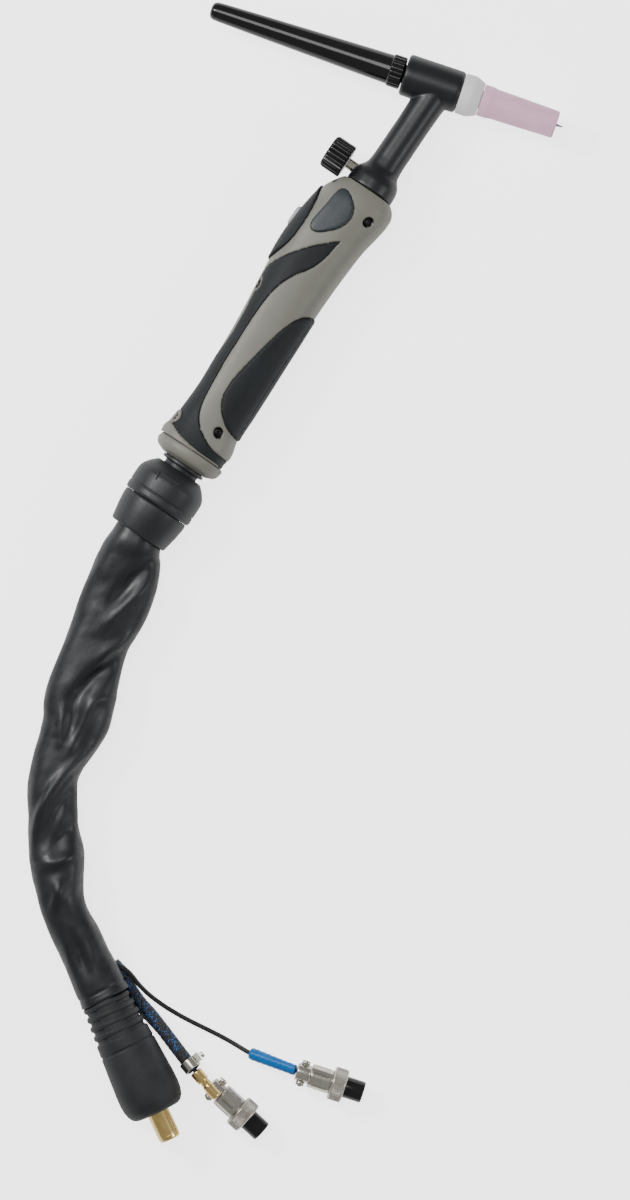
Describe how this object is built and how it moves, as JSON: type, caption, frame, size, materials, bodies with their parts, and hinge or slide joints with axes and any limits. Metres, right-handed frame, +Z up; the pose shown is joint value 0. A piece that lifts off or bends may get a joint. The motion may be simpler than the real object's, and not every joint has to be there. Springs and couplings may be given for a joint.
{
  "type": "tig torch",
  "caption": "Swivelling TIG welding torch with soft-grip handle, cup, long back cap, cable cover, power plug, gas hose and round control plugs.",
  "frame": {"origin": "under the middle of the rigid torch without its leads, on the surface it lies on", "axes": "+Y along the handle towards the head, +X to the cup side, +Z up through the badge"},
  "size_m": [0.4126, 0.6035, 0.0416],
  "materials": {
    "black_moulding": "satin moulding",
    "handle_grey": "matte moulding",
    "soft_grip": "matte soft grip",
    "badge": "matte",
    "button_grey": "satin",
    "ceramic_white": "satin",
    "ceramic_pink": "matte ceramic",
    "gloss_black": "gloss",
    "rubber": "matte",
    "cover_cloth": "satin coated cloth",
    "brass": "turned",
    "copper": "turned copper",
    "nickel": "nickel plate",
    "tungsten": "ground",
    "braid": "woven braid",
    "wire_black": "satin",
    "shrink_blue": "satin"
  },
  "bodies": {
    "handle": {"handle_shell_upper": "handle_grey", "handle_shell_lower": "handle_grey", "swoosh_grip_upper": "soft_grip", "swoosh_grip_lower": "soft_grip", "leaf_grip_upper": "soft_grip", "leaf_grip_lower": "soft_grip", "button_surround": "soft_grip", "badge_upper": "badge", "badge_lower": "badge", "handle_screw_1": "nickel", "handle_screw_2": "nickel", "handle_screw_3": "nickel", "handle_screw_4": "nickel", "rear_flange": "handle_grey", "microswitch": "gloss_black", "power_cable_core": "copper", "head_cover": "black_moulding", "neck_tube": "copper", "head_core": "brass", "insulator": "ceramic_white", "collet_body": "copper", "collet": "copper", "potentiometer": "nickel", "knuckle_ball": "black_moulding"},
    "trigger_button": {"trigger_button": "button_grey"},
    "control_knob": {"control_knob": "gloss_black"},
    "gas_cup": {"gas_cup": "ceramic_pink"},
    "electrode": {"electrode": "tungsten"},
    "back_cap": {"back_cap": "gloss_black"},
    "rear_cuff": {"rear_cuff": "black_moulding"},
    "connector_1_ring": {"connector_1_ring": "nickel"},
    "connector_2_ring": {"connector_2_ring": "nickel"},
    "cap_thread": {"cap_oring": "rubber"},
    "knuckle": {"knuckle_housing": "black_moulding", "cable_cover": "cover_cloth", "plug_boot": "rubber", "plug_pin": "brass", "cable_lug": "copper", "gas_hose": "braid", "hose_clamp": "nickel", "clamp_screw": "nickel", "gas_fitting": "brass", "control_wire_1": "wire_black", "control_wire_2": "wire_black", "heat_shrink": "shrink_blue", "connector_1_clamp": "nickel", "connector_1_screw_1": "nickel", "connector_1_screw_2": "nickel", "connector_1_body": "nickel", "connector_1_insert": "gloss_black", "connector_2_clamp": "nickel", "connector_2_screw_1": "nickel", "connector_2_screw_2": "nickel", "connector_2_body": "nickel", "connector_2_insert": "gloss_black"}
  },
  "joints": [
    {"name": "button_press", "type": "slide", "parent": "handle", "child": "trigger_button", "axis": [1, 0, 0], "range_m": [0, 0.0012], "stiffness_N_per_m": 300},
    {"name": "knob_turn", "type": "hinge", "parent": "handle", "child": "control_knob", "pos_m": [0.00535, 0.07405, 0.0208], "axis": [-1, 0, 0], "range_deg": [0, 270]},
    {"name": "cup_unscrew", "type": "hinge", "parent": "handle", "child": "gas_cup", "pos_m": [0.07443, 0.15071, 0.0208], "axis": [0.9636, 0.2672, 0], "range_deg": [0, 720]},
    {"name": "electrode_slide", "type": "slide", "parent": "handle", "child": "electrode", "axis": [0.9636, 0.2672, 0], "range_m": [-0.006, 0.01]},
    {"name": "cap_advance", "type": "slide", "parent": "handle", "child": "cap_thread", "axis": [-0.9636, -0.2672, 0], "range_m": [0, 0.004]},
    {"name": "cap_unscrew", "type": "hinge", "parent": "cap_thread", "child": "back_cap", "pos_m": [-0.03157, 0.12132, 0.0208], "axis": [-0.9636, -0.2672, 0], "range_deg": [0, 1440]},
    {"name": "knuckle_swing", "type": "hinge", "parent": "handle", "child": "knuckle", "pos_m": [0.03035, -0.13455, 0.0208], "axis": [0, 0, 1], "range_deg": [-8, 8]},
    {"name": "cuff_turn", "type": "hinge", "parent": "knuckle", "child": "rear_cuff", "pos_m": [0.03035, -0.15455, 0.0208], "axis": [0, 1, 0], "continuous": true},
    {"name": "ring_1_turn", "type": "hinge", "parent": "knuckle", "child": "connector_1_ring", "pos_m": [0.29652, -0.35775, 0.0097], "axis": [0.9625, 0.2712, 0], "continuous": true},
    {"name": "ring_2_turn", "type": "hinge", "parent": "knuckle", "child": "connector_2_ring", "pos_m": [0.26136, -0.40153, 0.0097], "axis": [0.9882, -0.153, 0], "continuous": true}
  ],
  "couplings": [
    {"joint": "cap_unscrew", "follows": "cap_advance", "rad_per_m": 6283.2}
  ]
}
